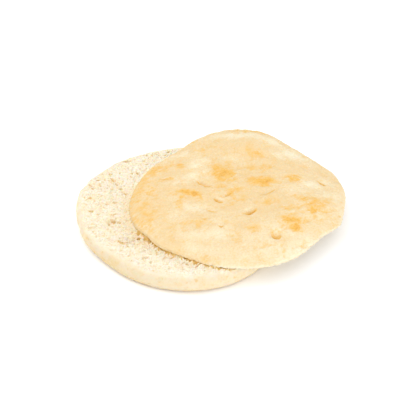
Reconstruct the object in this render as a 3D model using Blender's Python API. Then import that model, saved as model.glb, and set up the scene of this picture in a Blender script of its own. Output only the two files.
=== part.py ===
"""A round pita, cut level through its thickness into two halves. The lower half lies on the
table with its crumb up. The upper half lies askew on it with its crust up, and reaches past
its edge. Metres, +Z up, and the origin is on the table under the middle of the lower half."""

import math
from collections import namedtuple

import bmesh
import bpy
from mathutils import Vector, noise

MM = 0.001

# Driving dimensions
LOWER_RADIUS = 77.9 * MM
LOWER_HEIGHT = 13.5 * MM
UPPER_RADIUS = 77.7 * MM
UPPER_CROWN = 7.6 * MM  # rise of the crust from the cut edge to the middle
CROWN_FLATNESS = 3.5  # the larger, the wider the flat middle of the crust
CROWN_FULLNESS = 0.62  # the smaller, the steeper the crust rises from its edge
UPPER_EDGE = 1.3 * MM  # thickness that the knife left at the cut edge
UPPER_SHIFT = Vector((37.6 * MM, 7.5 * MM))  # how far the upper half was pushed aside
REST_GAP = 0.8 * MM  # mean gap between the two rough cut faces
ROUGHNESS = 0.4 * MM  # how far the cut crumb stands above or falls below its mean level
SWELL_LENGTH = 15.0 * MM
GRAIN_LENGTH = 7.0 * MM
SWELL_SHARE = 0.6  # of the roughness; the grain has the rest
CUT_FACE_SHARE = 0.25  # the upper half's own cut face, pressed flat, has only this much
RAGGED = 0.45 * MM  # how far the thin cut edge wanders in and out
RAGGED_LENGTH = 5.5 * MM

# Uneven outlines: number of lobes, how far they stand out, bearing of the first one in degrees
LOWER_LOBES = ((2, 1.7 * MM, 92), (3, 2.0 * MM, 40), (4, 1.0 * MM, 11), (5, 0.9 * MM, 24))
UPPER_LOBES = ((2, 2.1 * MM, 67), (3, 1.9 * MM, 93), (4, 2.4 * MM, 5), (5, 1.1 * MM, 6))

# Side of the lower half, from the table up: it bulges to its widest at EQUATOR_HEIGHT
BASE_INSET = 9.0 * MM
BASE_FLAT_INSET = 30.0 * MM
EQUATOR_HEIGHT = 6.2 * MM
SHOULDER_DEPTH = 4.0 * MM
SHOULDER_TURN = math.radians(65)
SIDE_STEPS = 3  # rings above the widest line, and as many below it
SHOULDER_FALL = 1.0 * MM  # the cut face rolls down this far where it meets the crust
SHOULDER_WIDTH = 7.0 * MM
CURL_RISE = 2.6 * MM  # the left edge has curled up off the table
CURL_START = 47.0 * MM
CURL_WIDTH = 31.0 * MM

# Warp of the upper half
HUMP_RISE = 6.0 * MM
HUMP_BEARING = 80.0
HUMP_SPREAD = 38.0
HUMP_START = 25.0 * MM
HUMP_WIDTH = 45.0 * MM
DROOP = 2.5 * MM  # sag of the part that nothing holds up
DROOP_START = 70.0 * MM
DROOP_WIDTH = 42.0 * MM
WAVE_RISE = 0.7 * MM
WAVE_TURN = 32.0  # the low folds in the crust run this way
WAVE_LENGTH = 17.0 * MM
WAVE_STRETCH = 2.2
RELIEF_FADE = 1.6  # the relief reaches its full height where the crust is 1 / 1.6 of the way up

# Mesh: cells across each round sheet
LOWER_CELLS = 42
UPPER_CELLS = 46
UPPER_CUT_CELLS = 22
REFINE_MARGIN = 2.0 * MM
REFINE_SHARE = 0.1  # a spot's edge, for the finer cells, is where it has a tenth of its height
SHARP_ANGLE = math.radians(50)

# Each rough surface reads its own layer of the noise, so that none repeats another
SWELL_LAYER, CUT_FACE_LAYER, GRAIN_LAYER, FOLD_LAYER, RIM_LAYER = 3, 5, 7, 11, 19
NOISE_PEAK = 0.62  # what the noise reaches by itself

# Linear colours: a cream crumb and a straw-gold crust, both matt
CRUMB_COLOUR = (0.96, 0.83, 0.60)
CRUST_COLOUR = (0.97, 0.73, 0.37)
CRUMB_ROUGHNESS = 0.9
CRUST_ROUGHNESS = 0.7

Spot = namedtuple("Spot", "right back half_length half_width turn height")

# Blisters on the crust, from the middle of the upper half: millimetres, and degrees for the turn
BLISTERS = (
    Spot(-34, 2, 13, 7, -15, 1.2),
    Spot(-11, 24, 12, 10, 40, 1.3),
    Spot(19, 15, 11, 5, 3, 1.1),
    Spot(41, 20, 6, 5, 0, 0.7),
    Spot(55, -9, 11, 10, 30, 1.0),
    Spot(39, -33, 10, 8, 10, 1.1),
    Spot(-30, -33, 10, 5, 10, 0.6),
    Spot(13, 51, 13, 8, 20, 0.8),
    Spot(-20, 53, 12, 6, 25, 0.8),
    Spot(1, 3, 10, 7, 40, 0.6),
)
# Holes pricked in the dough, which baked into short slits and dimples
PRICKS = (
    Spot(-24, 9, 7.0, 2.2, -28, 1.4),
    Spot(-15, -10, 4.0, 2.6, -35, 1.7),
    Spot(-19, -21, 4.0, 2.2, -10, 1.3),
    Spot(-12, -38, 2.2, 2.0, 0, 1.2),
    Spot(11, -23, 5.5, 2.4, 40, 1.6),
    Spot(26, -49, 3.6, 3.3, 0, 1.9),
    Spot(-7, -4, 3.4, 2.0, 35, 0.9),
    Spot(22, -3, 7.0, 2.0, 32, 0.9),
    Spot(62, 14, 3.2, 2.0, -30, 1.0),
    Spot(-53, 20, 4.0, 2.2, 30, 0.9),
)
# Large holes, a torn crease and a torn patch in the crumb, from the middle of the lower half
CRUMB_HOLES = (
    Spot(-51, -17, 4.2, 2.2, -10, 2.2),
    Spot(-68, -3, 2.6, 2.2, 0, 1.3),
    Spot(-69, 13, 2.2, 2.2, 0, 1.3),
    Spot(-43, 57, 3.2, 2.0, 0, 1.2),
    Spot(-66, 35, 2.2, 2.0, 0, 1.2),
    Spot(-27, -57, 2.4, 2.0, 0, 1.0),
    Spot(-56, 9, 2.8, 2.2, 0, 1.3),
    Spot(-50, 29, 15.0, 2.4, -61, 1.2),
    Spot(-40, -36, 8.0, 4.0, -35, 1.9),
    Spot(-24, -46, 7.0, 2.6, -38, 1.2),
)


def smooth_step(share):
    """0 up to share 0, 1 from share 1, and an even curve between them."""
    share = min(1.0, max(0.0, share))
    return share * share * (3 - 2 * share)


def rim_radius(radius, lobes, bearing):
    """Radius of an uneven round outline at a bearing in radians."""
    return radius + sum(
        rise * math.cos(count * (bearing - math.radians(first))) for count, rise, first in lobes
    )


def spot_share(spot, x, y):
    """1 in the middle of a spot, falling to nothing past its half length and half width."""
    turn = math.radians(spot.turn)
    right, back = x - spot.right * MM, y - spot.back * MM
    along = right * math.cos(turn) + back * math.sin(turn)
    across = back * math.cos(turn) - right * math.sin(turn)
    reach = (along / (spot.half_length * MM)) ** 2 + (across / (spot.half_width * MM)) ** 2
    return math.exp(-reach)


def spots_height(spots, x, y):
    """The deepest or highest of the spots at a place."""
    return max(spot.height * MM * spot_share(spot, x, y) for spot in spots)


def unevenness(x, y, wavelength, layer):
    """A smooth field between about -1 and 1 whose swells are a wavelength apart."""
    return noise.noise(Vector((x / wavelength, y / wavelength, layer))) / NOISE_PEAK


def lower_curl(x):
    """Lift of the lower half's left edge off the table."""
    return CURL_RISE * smooth_step((-x - CURL_START) / CURL_WIDTH)


def lower_rim(bearing):
    return rim_radius(LOWER_RADIUS, LOWER_LOBES, bearing)


def crumb_height(x, y):
    """Height of the lower half's cut face."""
    to_rim = lower_rim(math.atan2(y, x)) - math.hypot(x, y)
    fall = SHOULDER_FALL * smooth_step(1 - to_rim / SHOULDER_WIDTH)
    swell = SWELL_SHARE * unevenness(x, y, SWELL_LENGTH, SWELL_LAYER)
    grain = (1 - SWELL_SHARE) * unevenness(x, y, GRAIN_LENGTH, GRAIN_LAYER)
    level = LOWER_HEIGHT - fall + ROUGHNESS * (swell + grain)
    return level - spots_height(CRUMB_HOLES, x, y) + lower_curl(x)


def lower_side():
    """Inset from the rim and height of each ring, from under the cut edge down to the table."""
    rings = []
    for step in range(SIDE_STEPS - 1, -1, -1):
        turn = SHOULDER_TURN * step / SIDE_STEPS
        rise = (LOWER_HEIGHT - SHOULDER_FALL - EQUATOR_HEIGHT) / math.sin(SHOULDER_TURN)
        rings.append((SHOULDER_DEPTH * (1 - math.cos(turn)), EQUATOR_HEIGHT + rise * math.sin(turn)))
    for step in range(1, SIDE_STEPS + 1):
        turn = math.pi / 2 * step / SIDE_STEPS
        rings.append((BASE_INSET * (1 - math.cos(turn)), EQUATOR_HEIGHT * (1 - math.sin(turn))))
    rings.append((BASE_FLAT_INSET, 0.0))
    return rings


def upper_rim(bearing):
    radius = rim_radius(UPPER_RADIUS, UPPER_LOBES, bearing)
    x, y = radius * math.cos(bearing), radius * math.sin(bearing)
    return radius + RAGGED * unevenness(x, y, RAGGED_LENGTH, RIM_LAYER)


def upper_warp(x, y):
    """Lift of the upper half, as a bent slab, above where a flat one would lie."""
    distance = math.hypot(x, y)
    from_hump = (math.degrees(math.atan2(y, x)) - HUMP_BEARING + 180) % 360 - 180
    hump = HUMP_RISE * math.exp(-((from_hump / HUMP_SPREAD) ** 2))
    hump *= smooth_step((distance - HUMP_START) / HUMP_WIDTH)
    unheld = math.hypot(x + UPPER_SHIFT.x, y + UPPER_SHIFT.y) - DROOP_START
    return hump - DROOP * smooth_step(unheld / DROOP_WIDTH)


def upper_cut_height(x, y):
    """Height of the upper half's cut face, which looks down."""
    rough = 1 + unevenness(x, y, GRAIN_LENGTH, CUT_FACE_LAYER)
    return CUT_FACE_SHARE * ROUGHNESS * rough + upper_warp(x, y)


def crust_height(x, y):
    """Height of the upper half's crust: a low dome with folds, blisters and pricked holes."""
    share = min(1.0, math.hypot(x, y) / upper_rim(math.atan2(y, x)))
    dome = (1 - share**CROWN_FLATNESS) ** CROWN_FULLNESS
    turn = math.radians(WAVE_TURN)
    along = x * math.cos(turn) + y * math.sin(turn)
    across = y * math.cos(turn) - x * math.sin(turn)
    folds = WAVE_RISE * unevenness(along / WAVE_STRETCH, across, WAVE_LENGTH, FOLD_LAYER)
    relief = folds + spots_height(BLISTERS, x, y) - spots_height(PRICKS, x, y)
    relief *= min(1.0, RELIEF_FADE * dome)
    return UPPER_EDGE + UPPER_CROWN * dome + relief + upper_warp(x, y)


def round_sheet(mesh, cells, rim, inset):
    """A flat round sheet of quads: a square grid eased onto a circle, then out to the rim."""
    verts = bmesh.ops.create_grid(mesh, x_segments=cells, y_segments=cells, size=1.0)["verts"]
    for vert in verts:
        x, y = vert.co.x, vert.co.y
        round_x, round_y = x * math.sqrt(1 - y * y / 2), y * math.sqrt(1 - x * x / 2)
        reach = rim(math.atan2(round_y, round_x)) - inset
        vert.co = Vector((round_x * reach, round_y * reach, 0.0))
    return verts


def is_near(spot, place):
    """Whether a place is on a spot, or close to the middle of it."""
    reach = (Vector((spot.right, spot.back)) * MM - place).length
    return reach < spot.half_width * MM + REFINE_MARGIN or spot_share(spot, *place) > REFINE_SHARE


def refine_near(mesh, spots):
    """Halves the edges of the sheet round each spot, so that its sides have a true slope."""
    near = []
    for edge in mesh.edges:
        middle = ((edge.verts[0].co + edge.verts[1].co) / 2).to_2d()
        if not edge.is_boundary and any(is_near(spot, middle) for spot in spots):
            near.append(edge)
    bmesh.ops.subdivide_edges(mesh, edges=near, cuts=1, use_grid_fill=True)


def drop_ring(mesh, edges, rim, inset, height):
    """Extrudes an open rim to the next ring of the side and returns the new rim's edges."""
    made = bmesh.ops.extrude_edge_only(mesh, edges=edges)["geom"]
    for vert in (item for item in made if isinstance(item, bmesh.types.BMVert)):
        bearing = math.atan2(vert.co.y, vert.co.x)
        reach = rim(bearing) - inset
        x, y = reach * math.cos(bearing), reach * math.sin(bearing)
        vert.co = Vector((x, y, height(x, y)))
    return [item for item in made if isinstance(item, bmesh.types.BMEdge) and item.is_boundary]


def material(name, colour, roughness):
    made = bpy.data.materials.new(name)
    made.use_nodes = True
    shader = made.node_tree.nodes["Principled BSDF"]
    shader.inputs["Base Color"].default_value = (*colour, 1.0)
    shader.inputs["Roughness"].default_value = roughness
    return made


def finish(mesh, name, collection, materials, parent):
    """Makes a named object of the mesh, with its faces pointing out and shaded smooth."""
    bmesh.ops.recalc_face_normals(mesh, faces=mesh.faces)
    data = bpy.data.meshes.new(name)
    mesh.to_mesh(data)
    mesh.free()
    for each in materials:
        data.materials.append(each)
    data.shade_smooth()
    data.set_sharp_from_angle(angle=SHARP_ANGLE)
    made = bpy.data.objects.new(name, data)
    made.parent = parent
    collection.objects.link(made)
    return made


def build_lower_half(collection, materials, parent):
    """A thick round with a cut crumb face, a bulging crust side and a flat base."""
    mesh = bmesh.new()
    cut_inset = SHOULDER_DEPTH * (1 - math.cos(SHOULDER_TURN))
    round_sheet(mesh, LOWER_CELLS, lower_rim, cut_inset)
    refine_near(mesh, CRUMB_HOLES)
    for vert in mesh.verts:
        vert.co.z = crumb_height(vert.co.x, vert.co.y)
    crumb_faces = len(mesh.faces)
    rim_edges = [edge for edge in mesh.edges if edge.is_boundary]
    for inset, level in lower_side():
        rim_edges = drop_ring(
            mesh, rim_edges, lower_rim, inset, lambda x, y, level=level: level + lower_curl(x)
        )
    bmesh.ops.contextual_create(mesh, geom=rim_edges)
    mesh.faces.ensure_lookup_table()
    for face in mesh.faces[crumb_faces:]:
        face.material_index = 1
    return finish(mesh, "lower_half", collection, materials, parent)


def build_upper_half(collection, materials, parent):
    """A low dome of crust over a cut crumb face, thin at its edge."""
    mesh = bmesh.new()
    round_sheet(mesh, UPPER_CELLS, upper_rim, 0.0)
    refine_near(mesh, PRICKS)
    for vert in mesh.verts:
        vert.co.z = crust_height(vert.co.x, vert.co.y)
    crust_edges = {edge for edge in mesh.edges if edge.is_boundary}
    crust_faces = len(mesh.faces)
    for vert in round_sheet(mesh, UPPER_CUT_CELLS, upper_rim, UPPER_EDGE / 2):
        vert.co.z = upper_cut_height(vert.co.x, vert.co.y)
    cut_edges = [edge for edge in mesh.edges if edge.is_boundary and edge not in crust_edges]
    bmesh.ops.bridge_loops(mesh, edges=[*crust_edges, *cut_edges])
    mesh.faces.ensure_lookup_table()
    for face in mesh.faces[crust_faces:]:
        face.material_index = 1
    made = finish(mesh, "upper_half", collection, materials, parent)
    made.location = (UPPER_SHIFT.x, UPPER_SHIFT.y, LOWER_HEIGHT + REST_GAP)
    return made


def main():
    for old in list(bpy.data.objects):
        bpy.data.objects.remove(old, do_unlink=True)
    collection = bpy.data.collections.new("pita")
    bpy.context.scene.collection.children.link(collection)
    whole = bpy.data.objects.new("pita_halves", None)
    collection.objects.link(whole)
    crumb = material("wheat_crumb", CRUMB_COLOUR, CRUMB_ROUGHNESS)
    crust = material("baked_crust", CRUST_COLOUR, CRUST_ROUGHNESS)
    build_lower_half(collection, (crumb, crust), whole)
    build_upper_half(collection, (crust, crumb), whole)


main()
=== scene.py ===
"""A pita bread cut level into two halves: the lower one crumb up on a pale table, the upper one
crust up and askew on it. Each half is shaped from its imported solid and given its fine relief,
its crumb or its baked crust. Metres, +Z up, +X to the right, +Y away from the camera."""

import math
import random
from collections import namedtuple

import bpy
import numpy as np
from bpy.props import FloatProperty, FloatVectorProperty, IntProperty, PointerProperty
from mathutils import Color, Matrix, Vector, kdtree, noise


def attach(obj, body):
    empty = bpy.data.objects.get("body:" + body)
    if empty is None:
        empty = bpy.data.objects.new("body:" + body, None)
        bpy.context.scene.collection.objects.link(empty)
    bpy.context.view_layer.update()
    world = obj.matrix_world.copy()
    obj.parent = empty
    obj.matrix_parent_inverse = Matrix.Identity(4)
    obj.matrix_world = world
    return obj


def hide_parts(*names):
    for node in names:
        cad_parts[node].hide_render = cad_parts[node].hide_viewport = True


bl_info = {
    "name": "Cut Pita Bread",
    "version": (1, 0, 0),
    "blender": (4, 5, 0),
    "location": "3D View > Sidebar > Pita",
    "description": "Shapes and colours the two halves of a cut pita bread, and sets them in a studio",
    "category": "Object",
}

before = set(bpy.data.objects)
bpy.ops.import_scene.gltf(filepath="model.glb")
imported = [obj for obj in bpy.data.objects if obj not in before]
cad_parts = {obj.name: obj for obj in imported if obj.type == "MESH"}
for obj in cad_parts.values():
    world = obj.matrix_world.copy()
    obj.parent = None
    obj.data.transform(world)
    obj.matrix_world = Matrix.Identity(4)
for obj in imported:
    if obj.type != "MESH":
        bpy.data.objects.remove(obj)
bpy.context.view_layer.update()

MM = 0.001
BODY = "root"
LOWER_NODE, UPPER_NODE = "lower_half", "upper_half"

# The middles that the marks of the crust and of the crumb are measured from
CRUST_MIDDLE = (37.8 * MM, 5.5 * MM)
CRUMB_MIDDLE = (0.8 * MM, -0.5 * MM)
CRUMB_LOWEST = 9 * MM  # the cut crumb is higher than this all over
CRUST_HIGHEST = 27.1 * MM  # a little under the top of the solid's box
BUBBLE_REACH = 80 * MM  # how far from the origin the bubbles lie, to either side
BUBBLE_SEED = 7
GROUP_STEPS = 250  # a vertex group's weights are rounded to this many steps

# Places of the lights, and what the camera looks at
KEY_PLACE = (-0.75, 0.3, 0.9)
FILL_PLACE = (0.75, -1.0, 0.25)
LIGHT_WIDTH = 1.0
TABLE_WIDTH = 8.0
CAMERA_AIM = (18.15 * MM, 1.5 * MM, 10 * MM)
# At 1.1 m the lens shows 302 mm across, which is 0.72 mm for each of 420 pixels
LENS, SENSOR_WIDTH = 130.95, 36

Spot = namedtuple("Spot", "right back half_length half_width turn amount")

# Browned patches of the crust: millimetres from its middle, turn in degrees
BROWNED = (
    Spot(-44, 0, 5, 3, 20, 0.6),
    Spot(-37, 0, 6, 3, -5, 1.4),
    Spot(-30.5, -2, 5, 3.4, -45, 1.8),
    Spot(-26.5, -6.5, 3, 1.8, -60, 1.4),
    Spot(-40, -6, 4, 4, 0, 0.8),
    Spot(-40, -9, 4, 7, 0, 0.55),
    Spot(-10, 24, 11.5, 9.5, 112, 1.15),
    Spot(-13, 7, 3.5, 8, 15, 0.5),
    Spot(-5, 14, 5, 4, 0, 0.7),
    Spot(-21, 9, 4, 3, 0, 0.5),
    Spot(-3, -5, 4, 3, 0, 0.7),
    Spot(-32.5, 3, 4, 2.2, 0, 0.8),
    Spot(-6, -14, 5, 6, 0, 0.5),
    Spot(17, 13, 10, 5, 3, 1.5),
    Spot(-4, 0, 8.5, 3, 37, 0.8),
    Spot(3, -7, 7, 4, 15, 0.6),
    Spot(41, 19, 5.5, 5, 45, 1.05),
    Spot(47, -7, 7, 5, -45, 0.8),
    Spot(54, -14, 14, 12, 0, 0.65),
    Spot(54.5, -15, 4.5, 11, 0, 1.25),
    Spot(62, -18, 3, 5, 0, 0.7),
    Spot(38, -33, 10.5, 9, 0, 0.95),
    Spot(40, -38.5, 6.5, 4.5, 0, 1.1),
    Spot(26, -43, 5, 2.5, 0, 0.6),
    Spot(41, -57, 6, 2.5, 20, 0.4),
    Spot(37.5, -18, 9, 4.5, 12, 0.95),
    Spot(22, -11, 9, 4.5, 25, 0.55),
    Spot(10, -41, 7.5, 4.2, -10, 0.75),
    Spot(24, -58, 12, 5, 5, 0.3),
    Spot(-67, -2, 8, 34, 0, 0.5),
    Spot(-4, -48, 9, 4, 5, 0.4),
    Spot(-30, -34.5, 8, 4, 10, 0.7),
    Spot(-71, -6, 3, 6, 10, 0.7),
    Spot(-67, -32, 5, 4, -40, 0.7),
    Spot(-35, 67, 8, 3, 0, 0.7),
    Spot(-63, -25, 6.5, 8, -30, 0.75),
    Spot(-62, -36, 6, 5, -40, 0.7),
    Spot(-60, 31, 11, 6, 45, 0.9),
    Spot(-52, 18, 7, 2.4, 0, 0.75),
    Spot(-41, 33, 4, 3, 0, 0.75),
    Spot(-24, 53, 9, 3, 10, 0.6),
    Spot(9, 52, 4.5, 4.5, 0, 0.65),
    Spot(14, 45, 7, 6, -40, 0.7),
    Spot(16, 30, 10, 4, 3, 0.75),
    Spot(-22, -69, 7, 3, 0, 0.5),
    Spot(10, 76.5, 13, 3.5, 0, 0.75),
)
# Patches that stayed pale
PALE = (
    Spot(-30, -19, 9, 5, -20, 0.55),
    Spot(-31, 20, 10, 5, 25, 0.8),
    Spot(-29, 34, 9, 5, 35, 0.8),
    Spot(-42, 49, 12, 4, 25, 0.6),
    Spot(4, 69, 26, 5, -4, 0.75),
    Spot(26, 63, 13, 4.5, -25, 0.7),
    Spot(42, 49, 13, 7, -36, 0.75),
    Spot(-6, 41, 9, 4, -10, 0.4),
    Spot(-20, -48, 26, 7, 0, 0.55),
    Spot(-26, -60, 12, 6, -8, 0.5),
    Spot(-42, -27, 8, 6, -10, 0.5),
    Spot(52, 13, 9, 5, -20, 0.6),
    Spot(67, 18, 7, 5, -50, 0.35),
    Spot(45, -57, 20, 6, 30, 0.55),
    Spot(66, 1, 6, 6, -40, 0.4),
    Spot(31, 45.5, 7, 4, -36, 0.6),
    Spot(-39, 12, 6, 3, 0, 0.6),
    Spot(36, 4, 8, 5, 0, 0.6),
    Spot(-17.5, -34, 5, 3, 0, 0.5),
    Spot(-62, 5, 4, 4, 0, 0.5),
)
# Holes pricked in the dough before it was baked, each with its depth in millimetres
PRICKS = (
    Spot(-24, 9.4, 6.5, 1.4, -34, 1.1),
    Spot(-14.2, -10, 3.6, 1.5, -36, 1.4),
    Spot(-18.7, -21.5, 4.2, 1.3, -28, 0.7),
    Spot(-12, -40, 1.7, 1.2, 0, 0.9),
    Spot(9.8, -23, 5.6, 2.0, 38, 1.1),
    Spot(26.2, -49.5, 3.2, 2.8, -5, 1.5),
    Spot(-7, -4, 3.4, 1.2, 35, 0.5),
    Spot(23, 0, 7.0, 1.2, 34, 0.6),
    Spot(62, 16.5, 3.6, 1.2, -28, 0.9),
    Spot(-52, 18.5, 4.5, 1.2, 0, 0.5),
    Spot(-23.6, -31.7, 1.2, 0.9, 0, 0.9),
    Spot(72.5, -18.5, 1.2, 0.9, 0, 0.6),
)
# Large holes in the crumb, each with its depth in millimetres
CRUMB_HOLES = (
    Spot(-51.2, -15.0, 2.1, 1.2, -15, 1.3),
    Spot(-47.2, -16.4, 1.8, 1.0, -25, 1.0),
    Spot(-67.6, -6, 2.0, 1.4, 0, 1.2),
    Spot(-69.3, 9.5, 1.6, 1.4, 0, 1.0),
    Spot(-51, 6.3, 2.0, 1.2, 20, 1.0),
    Spot(-68, 21, 1.4, 1.2, 0, 0.8),
    Spot(-65, 32, 1.6, 1.2, 0, 0.9),
    Spot(-45.5, 58.7, 4.2, 1.3, 0, 1.0),
    Spot(-56.6, 41, 2.4, 1.0, -72, 0.9),
    Spot(-54.4, 35, 2.7, 1.2, -66, 1.1),
    Spot(-51.2, 29.5, 1.8, 1.0, -50, 1.0),
    Spot(-47.8, 24, 1.5, 1.2, -62, 1.1),
    Spot(-43.8, 17.5, 2.4, 1.0, -50, 0.9),
    Spot(-40.5, -39.5, 6, 0.9, 37, 0.7),
    Spot(-26.7, -56.4, 1.6, 1.1, 0, 0.8),
    Spot(-24, -52.8, 1.3, 0.9, 0, 0.7),
    Spot(-50.5, -48.8, 1.8, 1.0, -30, 0.6),
)
# Torn holes along the upper half's edge, painted brown in their depths as shade
EDGE_HOLES = (
    Spot(-35.6, -20.2, 1.4, 0.9, -60, 1.3),
    Spot(-34, -24.7, 1.6, 1.1, -60, 1.7),
    Spot(-36.7, -29, 1.0, 0.8, 0, 0.6),
    Spot(-32.7, -31.1, 1.5, 1.2, -40, 2.0),
    Spot(-32.4, -35.8, 1.4, 1.2, 0, 2.0),
    Spot(-27.9, -37.2, 1.5, 1.1, -50, 2.0),
    Spot(-24.6, -39.3, 1.8, 1.0, -20, 1.8),
    Spot(-12, -53, 2.0, 0.9, -30, 1.4),
    Spot(-14, -57, 3, 0.6, 55, 0.6),
    Spot(-8.5, -57.5, 2.4, 0.7, 30, 0.8),
    Spot(-1, -63, 2.4, 0.6, 50, 0.6),
    Spot(9, -66.5, 2.4, 0.7, 40, 0.8),
    Spot(0.5, -59.7, 1.6, 0.8, -20, 0.6),
    Spot(7.5, -64, 2.2, 0.9, -15, 0.9),
    Spot(15, -66.2, 1.8, 0.9, -10, 1.1),
)
# Rough torn places in the crumb
TORN = (
    Spot(-36, -36, 10, 8, -35, 1.0),
    Spot(-21, -47, 12, 5, -42, 0.9),
    Spot(-2, -62, 14, 4, -25, 0.9),
    Spot(-48, -22, 14, 12, 0, 0.6),
    Spot(-55, 15, 12, 22, 0, 0.4),
)

Pull = namedtuple("Pull", "bearing spread amount")

# Corners and flats of the rims: bearing and spread in degrees, millimetres outward
UPPER_RIM = (
    Pull(28, 13, 2.9),
    Pull(-45, 6, -1.2),
    Pull(-1, 9, -1.4),
    Pull(-20, 7, 2.6),
    Pull(-33, 7, -1.4),
    Pull(-146, 8, -1.7),
    Pull(-122, 9, -1.0),
    Pull(-99, 15, 1.3),
    Pull(125, 8, -1.1),
    Pull(150, 8, 1.3),
    Pull(61, 8, -1.2),
)
LOWER_RIM = (
    Pull(166, 4, 1.0),
    Pull(160, 3, -0.9),
    Pull(154, 6, 0.8),
    Pull(131, 10, 1.9),
    Pull(105, 8, -1.0),
    Pull(-153, 13, 2.6),
)

Sector = namedtuple("Sector", "bearing begins rise")

# Parts of the upper half's rim: bearing in degrees, the cosine of the turn away from it at which
# the part begins, and how much the cosine rises from there until the part is full
FRONT = Sector(-60, 0.60, 0.15)
FRONT_LEFT = Sector(-125, 0.80, 0.12)
LEFT = Sector(-165, 0.85, 0.10)
BACK_LEFT = Sector(155, 0.55, 0.30)

# What is worked out for each point of a half. Most are shares from 0 to 1. Under, inset,
# edge_holes, pits and depths are lengths, and tears is noise.
LowerShares = namedtuple(
    "LowerShares", "under crumb side rough open_rough front_left torn edge_holes pits tears touch"
)
UpperShares = namedtuple(
    "UpperShares", "inset crust room rim front_left back_left depths lines lips"
)


def linear(code):
    """The linear colour of an sRGB hex code."""
    shares = [int(code[at : at + 2], 16) / 255 for at in (1, 3, 5)]
    return tuple(s / 12.92 if s <= 0.04045 else ((s + 0.055) / 1.055) ** 2.4 for s in shares)


def colour(name, code, words):
    """A colour setting with its sRGB hex code."""
    return FloatVectorProperty(
        name=name, description=words, subtype="COLOR", default=linear(code), min=0, max=1
    )


def length(name, millimetres, words):
    """A length setting, given in millimetres."""
    return FloatProperty(
        name=name, description=words, default=millimetres * MM, min=0, unit="LENGTH", precision=5
    )


class CrumbSettings(bpy.types.PropertyGroup):
    cream: colour("Cream", "#DFDACB", "The crumb where the knife left it smooth")
    warm: colour("Warm cream", "#DED1B6", "The crumb's slightly darker clouds")
    # The darker warm colour painted as shade in the crumb's pores, pits and the gap by the upper half
    hollow_shade: colour("Hollow", "#CFAB69", "The crumb deep in its holes, where light shines through")
    side: colour("Side crust", "#D2C5AB", "The soft crust round the lower half's side")
    # Browned crust underneath and on the side, also painted as shade in the torn holes, the gap by
    # the upper half and where the foot meets the table
    toasted_and_shade: colour("Toasted", "#CBA25B", "The crust underneath, and torn edges by the upper half")
    side_gold: colour("Golden side", "#D2B988", "The side crust where it met the oven's heat")
    swell: length("Swell", 0.9, "How far the cut crumb's lumps stand up")
    shreds: length("Shreds", 0.8, "How far the torn places' shreds stand up")
    bubbles: IntProperty(
        name="Bubbles", description="How many bubbles the knife cut through", default=7000, min=0
    )
    bubble_radius: length("Bubble radius", 0.48, "The crumb's bubbles have about this radius")
    smooth_front: length("Smooth front", 2, "How far in the dense crumb reaches at the front")
    rise: length("Rise", 1.4, "How far the crumb rises to touch the upper half's edge")
    folds: length("Side folds", 1.0, "Swing of the side crust's folds")
    side_grain: length("Side grain", 0.4, "Swing of the side crust's grain")
    foot: length("Foot", 1.5, "How far the foot of the side stands out")


class CrustSettings(bpy.types.PropertyGroup):
    # Also painted as a highlight behind each pricked hole
    pale: colour("Pale", "#DCD4BA", "The crust where it stayed pale")
    straw: colour("Straw", "#D4BA8D", "Most of the crust")
    golden: colour("Golden", "#D7AA57", "The browned patches")
    # Also painted as shade in the pricked holes and under the front left rim
    brown: colour("Brown", "#CB9746", "The middle of the darkest patches and holes")
    wrinkle: length("Wrinkles", 0.7, "Swing of the crust's fine wrinkles")
    dents: length("Dents", 1.3, "Swing of the crust's dents")
    grain: length("Grain", 0.22, "Swing of the crust's grain")
    ragged: length("Ragged edge", 2.2, "How far the thin cut edge is torn in and out")
    droop: length("Droop", 0.6, "How far the back left edge hangs down")


class StudioSettings(bpy.types.PropertyGroup):
    table: colour("Table", "#FEFEFE", "The pale table")
    ambient: FloatProperty(
        name="Ambient", description="Strength of the even light all round", default=1.1, min=0
    )
    key: FloatProperty(
        name="Key light",
        description="Power of the soft light high on the left",
        default=6,
        min=0,
        unit="POWER",
    )
    fill: FloatProperty(
        name="Fill light",
        description="Power of the soft light low at the front right",
        default=10,
        min=0,
        unit="POWER",
    )
    height: FloatProperty(
        name="Camera height",
        description="Angle of the camera above the table",
        default=math.radians(37),
        unit="ROTATION",
    )
    distance: length("Camera distance", 1100, "From the camera to the bread")


def smooth_step(share):
    """Eases a share from 0 to 1, and holds it between them."""
    share = np.clip(share, 0.0, 1.0)
    return share * share * (3 - 2 * share)


def hump(values, middle, width):
    """1 at the middle, and falling away smoothly past the width on either side."""
    return np.exp(-(((values - middle) / width) ** 2))


def points_of(piece):
    """The place of each vertex."""
    flat = np.empty(len(piece.data.vertices) * 3, np.float32)
    piece.data.vertices.foreach_get("co", flat)
    return flat.reshape(-1, 3).astype(float)


def normals_of(piece):
    """Which way the surface faces at each vertex."""
    flat = np.empty(len(piece.data.vertices) * 3, np.float32)
    piece.data.vertex_normals.foreach_get("vector", flat)
    return flat.reshape(-1, 3)


def face_values(piece, kind):
    """Each face's centre or normal."""
    flat = np.empty(len(piece.data.polygons) * 3, np.float32)
    piece.data.polygons.foreach_get(kind, flat)
    return flat.reshape(-1, 3)


def spot_place(spot, points, middle):
    """How far along and across a spot each point lies, in its half lengths and half widths."""
    turn = math.radians(spot.turn)
    right = points[:, 0] - middle[0] - spot.right * MM
    back = points[:, 1] - middle[1] - spot.back * MM
    along = (right * math.cos(turn) + back * math.sin(turn)) / (spot.half_length * MM)
    across = (back * math.cos(turn) - right * math.sin(turn)) / (spot.half_width * MM)
    return along, across


def spots_amount(spots, points, middle, blunt=1.0):
    """The strongest spot's amount at each point. It falls away past the spot's half length and
    half width; a blunt spot has a flatter middle and steeper sides."""
    amounts = []
    for spot in spots:
        along, across = spot_place(spot, points, middle)
        amounts.append(spot.amount * np.exp(-((along**2 + across**2) ** blunt)))
    return np.max(amounts, axis=0)


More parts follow.
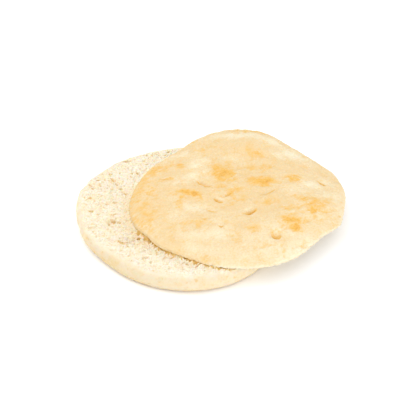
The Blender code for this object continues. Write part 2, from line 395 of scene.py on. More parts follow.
def prick_folds(points):
    """The depth of the pricked holes, and each point's share in the dark stripe of painted shade
    along a hole's front and in the pale painted highlight behind it. Baking pulled the holes into
    bent slits, gentle behind and steep in front."""
    depths, lines, lips = np.zeros((3, len(points)))
    for spot in PRICKS:
        along, across = spot_place(spot, points, CRUST_MIDDLE)
        across = across - 0.45 * along**2
        slope = np.where(across < 0, across * 2.0, across * 0.8)
        ends = np.exp(-(along**4))
        depths = np.maximum(depths, spot.amount * MM * ends * np.exp(-(slope**2)))
        # a dark stripe of painted shade along the hole's front
        shade_line = np.exp(-(((across - 0.35) * spot.half_width / 0.55) ** 2))
        lines = np.maximum(lines, spot.amount * ends * shade_line)
        # a painted highlight behind the hole
        lip_highlight = np.exp(-(along**2) - ((across - 2.2) * spot.half_width / 1.4) ** 2)
        lips = np.maximum(lips, spot.amount * lip_highlight)
    return depths, lines, lips


def clouds(points, size, layer, octaves=2):
    """Soft noise of about -1 to 1 at each point, whose swells are a size apart. Each pattern
    reads a layer of the noise of its own."""
    offset = Vector((0.0, 0.0, layer))
    return np.array(
        [noise.fractal(Vector(p) / size + offset, 1.0, 2.0, octaves) for p in points.tolist()]
    )


def bearings_of(points, centre):
    """Each point's bearing from a centre, seen from above."""
    return np.arctan2(points[:, 1] - centre[1], points[:, 0] - centre[0])


def outline_of(points, centre, steps=120):
    """A function that gives the outline's radius round a centre at any bearing."""
    away = points[:, :2] - np.array(centre)
    cells = ((bearings_of(points, centre) + math.pi) / (2 * math.pi) * steps).astype(int) % steps
    reach = np.zeros(steps)
    np.maximum.at(reach, cells, np.hypot(away[:, 0], away[:, 1]))
    middles = (np.arange(steps) + 0.5) / steps * 2 * math.pi - math.pi
    return lambda bearing: np.interp(bearing, middles, reach, period=2 * math.pi)


def inset_from(outline, points, centre):
    """How far inside an outline each point lies, seen from above."""
    away = points[:, :2] - np.array(centre)
    return outline(bearings_of(points, centre)) - np.hypot(away[:, 0], away[:, 1])


def sector_share(sector, points):
    """1 in a part of the upper half's rim, and 0 away from it."""
    turns = bearings_of(points, CRUST_MIDDLE) - math.radians(sector.bearing)
    return smooth_step((np.cos(turns) - sector.begins) / sector.rise)


def make_active(piece):
    """Selects a piece alone."""
    bpy.ops.object.select_all(action="DESELECT")
    piece.select_set(True)
    bpy.context.view_layer.objects.active = piece


def merged_copy(node, name):
    """A copy of a CAD solid as one closed mesh of mostly four-sided faces."""
    piece = bpy.data.objects.new(name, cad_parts[node].data.copy())
    bpy.context.scene.collection.objects.link(piece)
    piece.data.materials.clear()
    make_active(piece)
    bpy.ops.mesh.customdata_custom_splitnormals_clear()
    bpy.ops.object.mode_set(mode="EDIT")
    bpy.ops.mesh.select_all(action="SELECT")
    bpy.ops.mesh.remove_doubles(threshold=0.01 * MM)
    bpy.ops.mesh.tris_convert_to_quads()
    bpy.ops.mesh.normals_make_consistent(inside=False)
    bpy.ops.object.mode_set(mode="OBJECT")
    return piece


def round_off(piece, levels):
    """Smooths the solid's facets by subdivision."""
    make_active(piece)
    bpy.ops.object.modifier_add(type="SUBSURF")
    modifier = piece.modifiers[-1]
    modifier.levels = levels
    modifier.render_levels = levels
    bpy.ops.object.modifier_apply(modifier=modifier.name)


def refine(piece, chosen, cuts):
    """Cuts the chosen faces finer, so that they can carry fine relief."""
    make_active(piece)
    bpy.ops.object.mode_set(mode="EDIT")
    bpy.ops.mesh.select_mode(type="FACE")
    bpy.ops.mesh.select_all(action="DESELECT")
    bpy.ops.object.mode_set(mode="OBJECT")
    piece.data.polygons.foreach_set("select", chosen)
    bpy.ops.object.mode_set(mode="EDIT")
    bpy.ops.mesh.subdivide(number_cuts=cuts)
    bpy.ops.object.mode_set(mode="OBJECT")


def set_group(piece, name, weights):
    """A vertex group with a weight from 0 to 1 at each vertex."""
    group = piece.vertex_groups.new(name=name)
    steps = np.rint(np.clip(weights, 0, 1) * GROUP_STEPS).astype(int)
    for step in np.unique(steps[steps > 0]).tolist():
        group.add(np.nonzero(steps == step)[0].tolist(), step / GROUP_STEPS, "REPLACE")


def store(piece, name, values):
    """Keeps a number at each vertex for the material to read."""
    attribute = piece.data.attributes.new(name, "FLOAT", "POINT")
    attribute.data.foreach_set("value", np.asarray(values, np.float32))


def displace(piece, weights, height, direction="Z", level=0.0, texture=None, pattern=None):
    """Moves the surface by a height at weight 1, or by a texture's swing round a level."""
    set_group(piece, "relief", weights)
    make_active(piece)
    bpy.ops.object.modifier_add(type="DISPLACE")
    modifier = piece.modifiers[-1]
    modifier.vertex_group = "relief"
    modifier.direction = direction
    modifier.strength = height
    modifier.mid_level = level
    modifier.texture = texture
    if pattern:
        modifier.texture_coords = "OBJECT"
        modifier.texture_coords_object = pattern
    bpy.ops.object.modifier_apply(modifier=modifier.name)
    piece.vertex_groups.remove(piece.vertex_groups["relief"])


def heave(piece, heights, direction="Z"):
    """Moves each vertex by its own height."""
    for side in (1, -1):
        one_sided = np.maximum(side * heights, 0)
        top = one_sided.max()
        if top > 0:
            displace(piece, one_sided / top, side * top, direction)


def push_out(piece, reach, bearings):
    """Moves each vertex away from the middle, along its bearing, by its own reach."""
    heave(piece, reach * np.cos(bearings), "X")
    heave(piece, reach * np.sin(bearings), "Y")


def pulled(bearings, pulls):
    """How far the pulls move a rim outward at each bearing."""
    reach = np.zeros(np.shape(bearings))
    for pull in pulls:
        turn = np.degrees(bearings) - pull.bearing
        turn = (turn + 180) % 360 - 180
        reach += pull.amount * MM * np.exp(-((turn / pull.spread) ** 2))
    return reach


def pull_rim(piece, pulls, outline, middle):
    """Pulls corners out of a rim, and flats in."""
    points = points_of(piece)
    bearings = bearings_of(points, middle)
    near = smooth_step(1 - inset_from(outline, points, middle) / (14 * MM))
    push_out(piece, near * pulled(bearings, pulls), bearings)


def add_texture(name, kind, size, **settings):
    """A noise texture for a Displace modifier, whose swells are a size apart."""
    texture = bpy.data.textures.new(name, kind)
    texture.noise_scale = size
    for setting, value in settings.items():
        setattr(texture, setting, value)
    return texture


def add_node(tree, kind, inputs=None, **settings):
    """Adds a node with its settings. An input is a number, a colour or another node's output."""
    node = tree.nodes.new(kind)
    for setting, value in settings.items():
        setattr(node, setting, value)
    for socket, value in (inputs or {}).items():
        if isinstance(value, bpy.types.NodeSocket):
            tree.links.new(value, node.inputs[socket])
        else:
            plain = (*value, 1) if isinstance(value, Color) else value
            node.inputs[socket].default_value = plain
    return node


# Sockets of a Mix node set to colours
MIX_FACTOR, MIX_A, MIX_B, MIX_RESULT = 0, 6, 7, 2


def bubble_pits(points, settings):
    """Depth of the round hollows that are left where the knife cut through bubbles."""
    draw = random.Random(BUBBLE_SEED)
    tree = kdtree.KDTree(len(points))
    for index, (x, y, _) in enumerate(points.tolist()):
        tree.insert((x, y, 0.0), index)
    tree.balance()
    depths = np.zeros(len(points))
    for _ in range(settings.bubbles):
        x = draw.uniform(-BUBBLE_REACH, BUBBLE_REACH)
        y = draw.uniform(-BUBBLE_REACH, BUBBLE_REACH)
        radius = settings.bubble_radius * math.exp(draw.gauss(0.0, 0.36))
        rise = draw.uniform(0.1, 0.75) * radius
        stretch = draw.uniform(1.0, 2.2)
        turn = draw.uniform(0, math.pi)
        for place, index, _ in tree.find_range((x, y, 0.0), radius * stretch):
            right = place.x - x
            back = place.y - y
            along = (right * math.cos(turn) + back * math.sin(turn)) / stretch
            across = back * math.cos(turn) - right * math.sin(turn)
            inside = radius**2 - along**2 - across**2
            if inside > 0:
                depths[index] = max(depths[index], math.sqrt(inside) - rise)
    return depths


def crumb_material(settings):
    """Wheat crumb: fine baked foam, torn and cut. It is matt, and light soaks into it. Its pores,
    pits and the gap by the upper half are painted a darker warm colour as shade, so that its
    hollows look warm rather than grey. The side's thin crust is smoother and more golden."""
    material = bpy.data.materials.new("open wheat crumb")
    material.use_nodes = True
    tree = material.node_tree
    shader = tree.nodes["Principled BSDF"]
    place = add_node(tree, "ShaderNodeTexCoord").outputs["Object"]
    # clouds 7 mm apart, down to specks under 1 mm
    cloud = add_node(
        tree,
        "ShaderNodeTexNoise",
        {"Vector": place, "Scale": 1 / (7 * MM), "Detail": 5.0, "Roughness": 0.7},
    )
    cloud_share = add_node(
        tree,
        "ShaderNodeMapRange",
        {"Value": cloud.outputs["Fac"], "From Min": 0.38, "From Max": 0.64},
    )
    body = add_node(
        tree,
        "ShaderNodeMix",
        {MIX_FACTOR: cloud_share.outputs[0], MIX_A: settings.cream, MIX_B: settings.warm},
        data_type="RGBA",
    ).outputs[MIX_RESULT]
    # pores 1.5 mm apart, coarser than most real ones, so that they show; in the crumb their colour is
    # painted shade
    pores = add_node(
        tree,
        "ShaderNodeTexNoise",
        {"Vector": place, "Scale": 1 / (1.5 * MM), "Detail": 3.0, "Roughness": 0.65},
    )
    pore_share = add_node(
        tree,
        "ShaderNodeMapRange",
        {"Value": pores.outputs["Fac"], "From Min": 0.5, "From Max": 0.33, "To Max": 0.6},
    )
    # Pores and pits take a darker warm colour as painted shade, the pores more where the crumb is
    # open
    opened = add_node(tree, "ShaderNodeAttribute", attribute_name="open")
    pit = add_node(tree, "ShaderNodeAttribute", attribute_name="pit")
    sunk_shade = add_node(
        tree,
        "ShaderNodeMath",
        {0: pore_share.outputs[0], 1: opened.outputs["Fac"], 2: pit.outputs["Fac"]},
        operation="MULTIPLY_ADD",
        use_clamp=True,
    )
    hollow_shade = add_node(
        tree,
        "ShaderNodeMix",
        {MIX_FACTOR: sunk_shade.outputs[0], MIX_A: body, MIX_B: settings.hollow_shade},
        data_type="RGBA",
    ).outputs[MIX_RESULT]
    # golden clouds 10 mm apart round the side, down to specks under 1 mm
    heat = add_node(
        tree,
        "ShaderNodeTexNoise",
        {"Vector": place, "Scale": 1 / (10 * MM), "Detail": 6.0, "Roughness": 0.75},
    )
    gold = add_node(tree, "ShaderNodeAttribute", attribute_name="gold")
    heat_share = add_node(
        tree,
        "ShaderNodeMapRange",
        {"Value": heat.outputs["Fac"], "From Min": 0.46, "From Max": 0.72},
    )
    heated = add_node(
        tree,
        "ShaderNodeMath",
        {0: heat_share.outputs[0], 1: gold.outputs["Fac"]},
        operation="ADD",
    )
    speckled = add_node(
        tree,
        "ShaderNodeMath",
        {0: pore_share.outputs[0], 1: 0.5, 2: heated.outputs[0]},
        operation="MULTIPLY_ADD",
        use_clamp=True,
    )
    side = add_node(
        tree,
        "ShaderNodeMix",
        {MIX_FACTOR: speckled.outputs[0], MIX_A: settings.side, MIX_B: settings.side_gold},
        data_type="RGBA",
    ).outputs[MIX_RESULT]
    crust = add_node(tree, "ShaderNodeAttribute", attribute_name="crust")
    untoasted = add_node(
        tree,
        "ShaderNodeMix",
        {MIX_FACTOR: crust.outputs["Fac"], MIX_A: hollow_shade, MIX_B: side},
        data_type="RGBA",
    ).outputs[MIX_RESULT]
    # The browned foot and side specks, and painted shade in the torn holes, the gap by the upper half
    # and where the foot meets the table
    toast_and_shade = add_node(tree, "ShaderNodeAttribute", attribute_name="toast_and_shade")
    whole = add_node(
        tree,
        "ShaderNodeMix",
        {MIX_FACTOR: toast_and_shade.outputs["Fac"], MIX_A: untoasted, MIX_B: settings.toasted_and_shade},
        data_type="RGBA",
    ).outputs[MIX_RESULT]
    bump = add_node(
        tree,
        "ShaderNodeBump",
        {"Height": pores.outputs["Fac"], "Strength": 0.5, "Distance": 0.4 * MM},
    )
    tree.links.new(whole, shader.inputs["Base Color"])
    tree.links.new(bump.outputs["Normal"], shader.inputs["Normal"])
    shader.inputs["Roughness"].default_value = 0.9
    shader.inputs["Specular IOR Level"].default_value = 0.2
    shader.inputs["Subsurface Weight"].default_value = 0.6
    shader.inputs["Subsurface Radius"].default_value = (1.0, 0.6, 0.3)
    shader.inputs["Subsurface Scale"].default_value = 1.5 * MM
    return material


def crust_material(settings, crumb_settings):
    """Baked wheat crust: a thin dry skin over the crumb. It is matt with a faint sheen, straw
    coloured, and golden brown where blisters stood up into the heat. Shade is painted darker into
    its relief's valleys, its pricked holes and under its front left rim, and a highlight paler
    behind each hole."""
    material = bpy.data.materials.new("baked wheat crust")
    material.use_nodes = True
    tree = material.node_tree
    shader = tree.nodes["Principled BSDF"]
    place = add_node(tree, "ShaderNodeTexCoord").outputs["Object"]
    # flour specks 1.3 mm apart on the straw colour
    flour = add_node(
        tree,
        "ShaderNodeTexNoise",
        {"Vector": place, "Scale": 1 / (1.3 * MM), "Detail": 3.0, "Roughness": 0.7},
    )
    flour_share = add_node(
        tree,
        "ShaderNodeMapRange",
        {
            "Value": flour.outputs["Fac"],
            "From Min": 0.3,
            "From Max": 0.7,
            "To Min": -0.32,
            "To Max": 0.32,
        },
    )
    # Paleness, with a painted highlight behind each pricked hole
    pale = add_node(tree, "ShaderNodeAttribute", attribute_name="pale")
    paled = add_node(
        tree,
        "ShaderNodeMath",
        {0: pale.outputs["Fac"], 1: flour_share.outputs[0]},
        operation="ADD",
        use_clamp=True,
    )
    straw = add_node(
        tree,
        "ShaderNodeMix",
        {MIX_FACTOR: paled.outputs[0], MIX_A: settings.straw, MIX_B: settings.pale},
        data_type="RGBA",
    ).outputs[MIX_RESULT]
    # mottling 1.6 mm apart breaks the darker patches up
    mottle = add_node(
        tree,
        "ShaderNodeTexNoise",
        {"Vector": place, "Scale": 1 / (1.6 * MM), "Detail": 4.0, "Roughness": 0.8},
    )
    swing = add_node(
        tree,
        "ShaderNodeMapRange",
        {
            "Value": mottle.outputs["Fac"],
            "From Min": 0.3,
            "From Max": 0.7,
            "To Min": -0.2,
            "To Max": 0.2,
        },
    )
    # scorched tips of tiny blisters, 1.7 mm apart
    blister = add_node(tree, "ShaderNodeTexVoronoi", {"Vector": place, "Scale": 1 / (1.7 * MM)})
    scorch = add_node(
        tree,
        "ShaderNodeMapRange",
        {
            "Value": blister.outputs["Distance"],
            "From Min": 0.15,
            "From Max": 0.5,
            "To Min": 0.5,
            "To Max": -0.05,
        },
    )
    # How brown the oven made the crust, with painted shade added in the relief's valleys, the pricked
    # holes and under the front left rim
    browning_and_shade = add_node(tree, "ShaderNodeAttribute", attribute_name="browning_and_shade")
    scorched = add_node(
        tree,
        "ShaderNodeMath",
        {0: browning_and_shade.outputs["Fac"], 1: scorch.outputs[0], 2: browning_and_shade.outputs["Fac"]},
        operation="MULTIPLY_ADD",
    )
    browned_and_shaded = add_node(
        tree, "ShaderNodeMath", {0: scorched.outputs[0], 1: swing.outputs[0]}, operation="ADD"
    )
    golden_share = add_node(
        tree,
        "ShaderNodeMapRange",
        {"Value": browned_and_shaded.outputs[0], "From Min": 0.10, "From Max": 0.80},
    )
    golden = add_node(
        tree,
        "ShaderNodeMix",
        {MIX_FACTOR: golden_share.outputs[0], MIX_A: straw, MIX_B: settings.golden},
        data_type="RGBA",
    ).outputs[MIX_RESULT]
    brown_share = add_node(
        tree,
        "ShaderNodeMapRange",
        {"Value": browned_and_shaded.outputs[0], "From Min": 0.75, "From Max": 1.5},
    )
    brown = add_node(
        tree,
        "ShaderNodeMix",
        {MIX_FACTOR: brown_share.outputs[0], MIX_A: golden, MIX_B: settings.brown},
        data_type="RGBA",
    ).outputs[MIX_RESULT]
    cut = add_node(tree, "ShaderNodeAttribute", attribute_name="cut")
    whole = add_node(
        tree,
        "ShaderNodeMix",
        {MIX_FACTOR: cut.outputs["Fac"], MIX_A: brown, MIX_B: crumb_settings.warm},
        data_type="RGBA",
    ).outputs[MIX_RESULT]
    # flour grain 0.9 mm apart, coarser than real flour, so that it shows
    grain = add_node(
        tree,
        "ShaderNodeTexNoise",
        {"Vector": place, "Scale": 1 / (0.9 * MM), "Detail": 3.0, "Roughness": 0.7},
    )
    bump = add_node(
        tree,
        "ShaderNodeBump",
        {"Height": grain.outputs["Fac"], "Strength": 0.4, "Distance": 0.2 * MM},
    )
    tree.links.new(whole, shader.inputs["Base Color"])
    tree.links.new(bump.outputs["Normal"], shader.inputs["Normal"])
    shader.inputs["Roughness"].default_value = 0.7
    shader.inputs["Specular IOR Level"].default_value = 0.3
    shader.inputs["Subsurface Weight"].default_value = 0.15
    shader.inputs["Subsurface Radius"].default_value = (1.0, 0.55, 0.25)
    shader.inputs["Subsurface Scale"].default_value = 0.8 * MM
    return material


def finish_piece(piece, material, node):
    """Shades a half smooth and puts it in its solid's place."""
    piece.data.materials.clear()
    piece.data.materials.append(material)
    make_active(piece)
    bpy.ops.object.shade_smooth()
    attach(piece, BODY)
    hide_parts(node)


def upper_cover():
    """A function that gives how far the upper half reaches over the crumb at any bearing."""
    solid = outline_of(points_of(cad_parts[UPPER_NODE]), CRUST_MIDDLE)
    return lambda bearing: solid(bearing) + pulled(bearing, UPPER_RIM)


def steepen_foot(piece, outline, push):
    """Pushes the foot of the side outward, so that the side meets the table steeply."""
    points = points_of(piece)
    near_side = smooth_step((20 * MM - inset_from(outline, points, CRUMB_MIDDLE)) / (8 * MM))
    near_table = smooth_step((4 * MM - points[:, 2]) / (3 * MM))
    push_out(piece, near_side * push * near_table, bearings_of(points, CRUMB_MIDDLE))


def crumb_faces(piece, cover, reach):
    """Which faces are cut crumb, as far as a reach inside the upper half's edge."""
    centres = face_values(piece, "center")
    in_sight = inset_from(cover, centres, CRUST_MIDDLE) < reach
    flat = face_values(piece, "normal")[:, 2] > 0.5
    return in_sight & flat & (centres[:, 2] > CRUMB_LOWEST)


def refine_lower_half(piece, outline, cover):
    """Cuts the side's faces finer once, and the crumb's twice."""
    crumb = crumb_faces(piece, cover, 9 * MM)
    side = inset_from(outline, face_values(piece, "center"), CRUMB_MIDDLE) < 9 * MM
    refine(piece, crumb | side, 1)
    refine(piece, crumb_faces(piece, cover, 6.5 * MM), 1)


def lower_shares(points, normals, outline, cover, settings):
    """How far each point of the lower half belongs to the crumb, the side and their marks."""
    bearings = bearings_of(points, CRUMB_MIDDLE)
    inset = inset_from(outline, points, CRUMB_MIDDLE)
    under = inset_from(cover, points, CRUST_MIDDLE)
    upward = normals[:, 2] > 0.2
    crumb = smooth_step((inset - 0.5 * MM) / (3.0 * MM)) * upward
    side = (1 - crumb) * smooth_step((points[:, 2] - 0.6 * MM) / (2 * MM))

    # A dense, smooth ring lies round the rough crumb, widest at the front
    front = smooth_step(0.5 - np.sin(bearings) * 0.9 - 0.35)
    ring = inset - (0.5 * MM + settings.smooth_front * front)
    ring = ring + 2 * MM * clouds(points, 9 * MM, layer=2)
    near_cover = smooth_step((under + 4 * MM) / (3 * MM))
    rough = np.maximum(crumb * smooth_step(ring / (5 * MM)), crumb * near_cover)
    open_rough = rough * smooth_step((7 * MM - under) / (4 * MM))

    # Shreds stand up in the torn places and beside the upper half's front left edge
    front_left = sector_share(FRONT_LEFT, points)
    beside = front_left * hump(under, -1 * MM, 2.5 * MM)
    torn = open_rough * np.clip(0.25 + beside + spots_amount(TORN, points, CRUMB_MIDDLE), 0, 1)

    edge_holes = spots_amount(EDGE_HOLES, points, CRUMB_MIDDLE, blunt=2.0) * MM * crumb
    holes = spots_amount(CRUMB_HOLES, points, CRUMB_MIDDLE, blunt=2.0) * MM * crumb
    bubbles = bubble_pits(points, settings) * open_rough
    pits = np.maximum(bubbles, np.maximum(holes, edge_holes))

    # The crumb rises to touch the upper half's edge, less where tears keep them apart
    tears = clouds(points, 1.7 * MM, layer=6)
    open_tears = front_left * smooth_step((-0.36 - tears) / 0.2)
    touch = hump(under, 0.8 * MM, 2.2 * MM) * (1 - 0.5 * open_tears)
    touch = touch * upward * smooth_step((points[:, 2] - 12 * MM) / (1 * MM))
    return LowerShares(
        under, crumb, side, rough, open_rough, front_left, torn, edge_holes, pits, tears, touch
    )


def roughen_lower_half(piece, shares, settings):
    """Raises the crumb's lumps and shreds and the side's folds, and sinks the crumb's pits."""
    for name, size, depth in (("lumps", 2.6 * MM, 3), ("fine lumps", 1.1 * MM, 1)):
        lumps = add_texture(name, "CLOUDS", size, noise_depth=depth)
        displace(piece, shares.open_rough, settings.swell, level=0.5, texture=lumps)
    shreds = add_texture("shreds", "MUSGRAVE", 1.5 * MM, musgrave_type="RIDGED_MULTIFRACTAL")
    displace(piece, shares.torn, settings.shreds, level=0.5, texture=shreds)
    for name, size, swing in (
        ("side folds", 6 * MM, settings.folds),
        ("side grain", 1.6 * MM, settings.side_grain),
    ):
        folds = add_texture(name, "CLOUDS", size, noise_depth=2)
        displace(piece, shares.side, swing, direction="NORMAL", level=0.5, texture=folds)
    heave(piece, settings.rise * shares.touch - shares.pits * (1 - 0.6 * shares.touch))


def colour_lower_half(piece, points, shares):
    """Keeps what the crumb's material reads at each point: how much painted shade it takes in its
    pits, in the gap by the upper half and beside that half's left edge, how open its pores are,
    how far it is crust, how golden it is, and how far it is browned: the foot, partly as painted
    contact shade, specks on the side, and painted shade in the torn holes and the gap."""
    height = points[:, 2]
    # Painted shade in the gap under the upper half's edge, broken where tears hold the halves apart,
    # strongest at the front left
    gap_inset = shares.under + 0.5 * MM - 1.6 * MM * shares.tears
    gap = shares.crumb * smooth_step(gap_inset / (0.9 * MM))
    gap_shade = gap * (0.4 + 0.6 * shares.front_left)
    # Painted shade on the crumb beside the upper half's left edge
    shade = hump(np.minimum(shares.under, 0), 0, 6 * MM)
    shade = 0.3 * sector_share(LEFT, points) * shares.crumb * shade
    # The pits are painted darker and warmer as shade in them
    sunk_shade = 0.7 * smooth_step(shares.pits / (1.2 * MM))
    store(piece, "pit", np.maximum(sunk_shade, np.maximum(gap_shade, shade)))
    store(piece, "open", 0.25 + 0.75 * shares.rough)
    store(piece, "crust", 1 - 0.5 * (shares.rough + shares.crumb))

    bearings = bearings_of(points, CRUMB_MIDDLE)
    left_front = smooth_step(0.6 - np.cos(bearings + math.radians(35)))
    store(piece, "gold", 0.45 * hump(height, 6 * MM, 3 * MM) * left_front)

    # The brown colour goes to: painted shade in the torn holes and the gap by the upper half; the
    # browned foot, darkest at the table, which is partly painted contact shade; and specks on the
    # side.
    gap_and_hole_shade = smooth_step(shares.edge_holes / (1.4 * MM))
    gap_and_hole_shade = np.maximum(0.7 * gap * shares.front_left, gap_and_hole_shade)
    contact = 0.7 * smooth_step(1.2 - height / (1.4 * MM))
    foot = contact + 0.3 * smooth_step(1 - height / (5 * MM))
    specks = 0.5 * shares.side * smooth_step((clouds(points, 3 * MM, layer=12) - 0.5) / 0.15)
    store(piece, "toast_and_shade", np.maximum(np.maximum(foot, specks), gap_and_hole_shade))


class PITA_OT_lower_half(bpy.types.Operator):
    """Shapes the lower half: a cut crumb face full of cut bubbles, and a soft crust side"""

    bl_idname = "pita.lower_half"
    bl_label = "Lower Half"

    def execute(self, context):
        settings = context.scene.pita_crumb
        piece = merged_copy(LOWER_NODE, "pita_lower_half")
        cover = upper_cover()
        outline = outline_of(points_of(piece), CRUMB_MIDDLE)
        round_off(piece, 1)
        pull_rim(piece, LOWER_RIM, outline, CRUMB_MIDDLE)
        outline = outline_of(points_of(piece), CRUMB_MIDDLE)
        steepen_foot(piece, outline, settings.foot)
        refine_lower_half(piece, outline, cover)
        points = points_of(piece)
        shares = lower_shares(points, normals_of(piece), outline, cover, settings)
        roughen_lower_half(piece, shares, settings)
        colour_lower_half(piece, points, shares)
        finish_piece(piece, crumb_material(settings), LOWER_NODE)
        return {"FINISHED"}


def refine_upper_half(piece, outline):
    """Cuts the crust's faces and the cut edge's finer twice over."""
    near_rim = inset_from(outline, face_values(piece, "center"), CRUST_MIDDLE) < 2 * MM
    facing_up = face_values(piece, "normal")[:, 2] > 0.1
    refine(piece, facing_up | near_rim, 2)


def upper_shares(points, normals, outline):
    """How far each point of the upper half belongs to the crust, its rim and its pricked holes."""
    inset = inset_from(outline, points, CRUST_MIDDLE)
    crust = smooth_step(normals[:, 2] / 0.3) * smooth_step(inset / (1.0 * MM))
    # The relief fades out below the top of the solid's box
    room = crust * smooth_step((CRUST_HIGHEST - points[:, 2]) / (1 * MM))
    rim = smooth_step(1 - inset / (1.8 * MM))
    front_left = sector_share(FRONT_LEFT, points)
    back_left = sector_share(BACK_LEFT, points)
    return UpperShares(inset, crust, room, rim, front_left, back_left, *prick_folds(points))


def wrinkle_upper_half(piece, shares, settings):
    """Raises the crust's wrinkles, which run one way, its dents and its grain."""
    along = bpy.data.objects.new("wrinkle direction", None)
    along.rotation_euler.z = math.radians(32)
    along.scale = (3.0, 1.0, 1.0)
    bpy.context.scene.collection.objects.link(along)
    bpy.context.view_layer.update()
    wrinkles = add_texture("wrinkles", "CLOUDS", 1.8 * MM, noise_depth=2)
    displace(piece, shares.room, settings.wrinkle, level=0.5, pattern=along, texture=wrinkles)
    bpy.data.objects.remove(along)
    dents = add_texture("dents", "CLOUDS", 4.5 * MM, noise_depth=2)
    displace(piece, shares.room, settings.dents, level=0.5, texture=dents)
    grain = add_texture("grain", "CLOUDS", 1.0 * MM, noise_depth=1)
    displace(piece, shares.room, settings.grain, level=0.5, texture=grain)


def tear_upper_half(piece, points, shares, settings):
    """Frays the cut edge, most at the front, sinks the pricked holes and lets the back left
    edge hang down."""
    front = smooth_step(0.3 - 1.2 * np.sin(bearings_of(points, CRUST_MIDDLE)))
    ragged = add_texture("ragged edge", "CLOUDS", 1.5 * MM, noise_depth=3)
    frayed = shares.rim * (0.15 + 0.85 * front)
    displace(piece, frayed, settings.ragged, direction="NORMAL", level=0.7, texture=ragged)
    heave(piece, -shares.depths * shares.crust)
    near_edge = smooth_step(1 - shares.inset / (7 * MM))
    heave(piece, -settings.droop * shares.back_left * near_edge)


def browning_and_shade_of(points, bent, normals, relief, shares):
    """How brown the oven made each point of the crust, with painted shade added in the relief's
    valleys, in the pricked holes and under the front left rim, and less where a painted
    highlight sits behind a hole.
    """
    browning_and_shade = spots_amount(BROWNED, bent, CRUST_MIDDLE, blunt=1.25)
    browning_and_shade = browning_and_shade + 0.3 * clouds(bent, 8 * MM, layer=5, octaves=4)
    browning_and_shade += 0.35 * shares.back_left * hump(shares.inset, 0, 4 * MM)
    # Painted shade in the relief's valleys, and painted light on its rises
    browning_and_shade = 0.75 * browning_and_shade - np.clip(relief / (0.9 * MM), -0.16, 0.16)
    # Less brown where the painted highlight sits behind each hole
    browning_and_shade = browning_and_shade * (1 - 0.25 * np.clip(shares.lips, 0, 1))
    # Painted shade in the pricked holes
    browning_and_shade = np.maximum(browning_and_shade, 0.7 * smooth_step(shares.depths / MM))
    # Painted shade on the front left rim's downward faces
    rim_underside_shade = shares.front_left * smooth_step((0.35 - normals[:, 2]) / 0.4)
    uneven = 0.8 + 0.5 * clouds(points, 2 * MM, layer=11)
    # Painted shade along the front of each pricked hole
    return np.maximum(np.maximum(browning_and_shade, 1.4 * rim_underside_shade), 1.7 * shares.lines * uneven)


def paleness_of(points, bent, shares):
    """How far each point of the crust is pale: in patches that stayed pale, more toward the right,
    and with a painted highlight behind each pricked hole.
    """
    right = points[:, 0] - CRUST_MIDDLE[0]
    back = points[:, 1] - CRUST_MIDDLE[1]
    pale = spots_amount(PALE, bent, CRUST_MIDDLE) + 0.3 * clouds(points, 16 * MM, layer=8)
    pale += 0.3 * smooth_step((right - 0.9 * back) / (90 * MM))
    return np.clip(pale + 0.25 * shares.lips, 0, 1)


def cut_share_of(points, normals, shares):
    """How far each point is cut crumb: all the wall at the front, the underside elsewhere."""
    front = sector_share(FRONT, points)
    ragged_inset = shares.inset + 0.9 * MM * clouds(points, 2 * MM, layer=4)
    pale_rim = front * smooth_step(1.3 - ragged_inset / (1.6 * MM))
    skin = smooth_step((normals[:, 2] + 0.7) / 0.3)
    underside = (1 - front) * (1 - skin) * (1 - shares.front_left)
    wall = front * (1 - shares.crust) + underside
    return np.clip(np.maximum(wall, 0.75 * pale_rim), 0, 1)


def colour_upper_half(piece, points, normals, relief, shares):
    """Keeps what the crust's material reads at each point."""
    sway = [clouds(points, 6 * MM, layer=3), clouds(points, 6 * MM, layer=9), np.zeros(len(points))]
    bent = points + 2.5 * MM * np.stack(sway, axis=1)
    store(piece, "browning_and_shade", browning_and_shade_of(points, bent, normals, relief, shares))
    store(piece, "pale", paleness_of(points, bent, shares))
    store(piece, "cut", cut_share_of(points, normals, shares))


class PITA_OT_upper_half(bpy.types.Operator):
    """Shapes the upper half: a thin baked crust with wrinkles, pricked holes and a torn edge"""

    bl_idname = "pita.upper_half"
    bl_label = "Upper Half"

    def execute(self, context):
        settings = context.scene.pita_crust
        piece = merged_copy(UPPER_NODE, "pita_upper_half")
        outline = outline_of(points_of(piece), CRUST_MIDDLE)
        round_off(piece, 1)
        pull_rim(piece, UPPER_RIM, outline, CRUST_MIDDLE)
        outline = outline_of(points_of(piece), CRUST_MIDDLE)
        refine_upper_half(piece, outline)
        points = points_of(piece)
        normals = normals_of(piece)
        shares = upper_shares(points, normals, outline)
        wrinkle_upper_half(piece, shares, settings)
        relief = points_of(piece)[:, 2] - points[:, 2]
        tear_upper_half(piece, points, shares, settings)
        colour_upper_half(piece, points, normals, relief, shares)
        material = crust_material(settings, context.scene.pita_crumb)
        finish_piece(piece, material, UPPER_NODE)
        return {"FINISHED"}


def lay_table(settings):
    """A wide floor in matt white paint, which takes soft shadows and has no gloss."""
    bpy.ops.object.select_all(action="DESELECT")
    bpy.ops.mesh.primitive_plane_add(size=TABLE_WIDTH, location=(0, 0, 0))
    table = bpy.context.object
    table.name = "table"
    paint = bpy.data.materials.new("matt white paint")
    paint.use_nodes = True
    shader = paint.node_tree.nodes["Principled BSDF"]
    shader.inputs["Base Color"].default_value = (*settings.table, 1)
    shader.inputs["Roughness"].default_value = 0.9
    shader.inputs["Specular IOR Level"].default_value = 0.1
    table.data.materials.append(paint)


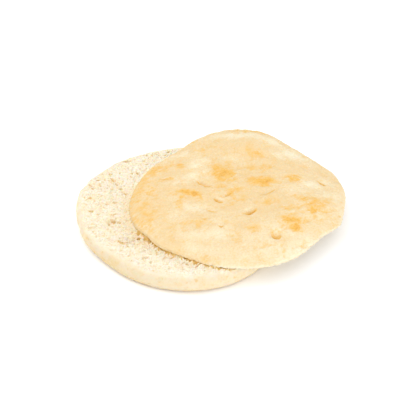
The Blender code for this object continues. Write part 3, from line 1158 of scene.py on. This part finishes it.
def light_studio(settings):
    """Even light all round, and two soft lights."""
    world = bpy.data.worlds.new("even light")
    world.use_nodes = True
    background = world.node_tree.nodes["Background"]
    background.inputs["Color"].default_value = (1, 1, 1, 1)
    background.inputs["Strength"].default_value = settings.ambient
    bpy.context.scene.world = world
    for name, place, power in (
        ("key light", KEY_PLACE, settings.key),
        ("fill light", FILL_PLACE, settings.fill),
    ):
        bpy.ops.object.light_add(type="AREA", location=place)
        light = bpy.context.object
        light.name = name
        light.data.energy = power
        light.data.size = LIGHT_WIDTH
        light.rotation_euler = (-light.location).to_track_quat("-Z", "Y").to_euler()


def place_camera(settings):
    """Looks at the bread from the front and above."""
    back = Vector((0, -math.cos(settings.height), math.sin(settings.height)))
    bpy.ops.object.camera_add(location=Vector(CAMERA_AIM) + back * settings.distance)
    camera = bpy.context.object
    camera.rotation_euler = (-back).to_track_quat("-Z", "Y").to_euler()
    camera.data.lens = LENS
    camera.data.sensor_width = SENSOR_WIDTH
    bpy.context.scene.camera = camera


class PITA_OT_studio(bpy.types.Operator):
    """Sets a pale table, soft light and the camera"""

    bl_idname = "pita.studio"
    bl_label = "Studio"

    def execute(self, context):
        settings = context.scene.pita_studio
        lay_table(settings)
        light_studio(settings)
        place_camera(settings)
        context.scene.view_settings.view_transform = "Standard"
        return {"FINISHED"}


class PITA_PT_sidebar(bpy.types.Panel):
    """Lists the pieces and their settings"""

    bl_idname = "PITA_PT_sidebar"
    bl_label = "Cut Pita Bread"
    bl_space_type = "VIEW_3D"
    bl_region_type = "UI"
    bl_category = "Pita"

    def draw(self, context):
        scene = context.scene
        for operator, settings in (
            ("pita.lower_half", scene.pita_crumb),
            ("pita.upper_half", scene.pita_crust),
            ("pita.studio", scene.pita_studio),
        ):
            box = self.layout.box()
            box.operator(operator)
            for name in settings.__annotations__:
                box.prop(settings, name)


GROUPS = {
    "pita_crumb": CrumbSettings,
    "pita_crust": CrustSettings,
    "pita_studio": StudioSettings,
}
CLASSES = (
    *GROUPS.values(),
    PITA_OT_lower_half,
    PITA_OT_upper_half,
    PITA_OT_studio,
    PITA_PT_sidebar,
)


def register():
    for each in CLASSES:
        bpy.utils.register_class(each)
    for name, group in GROUPS.items():
        setattr(bpy.types.Scene, name, PointerProperty(type=group))


def unregister():
    for name in GROUPS:
        delattr(bpy.types.Scene, name)
    for each in reversed(CLASSES):
        bpy.utils.unregister_class(each)


def main():
    register()
    bpy.ops.pita.lower_half()
    bpy.ops.pita.upper_half()
    bpy.ops.pita.studio()


if __name__ == "__main__":
    main()
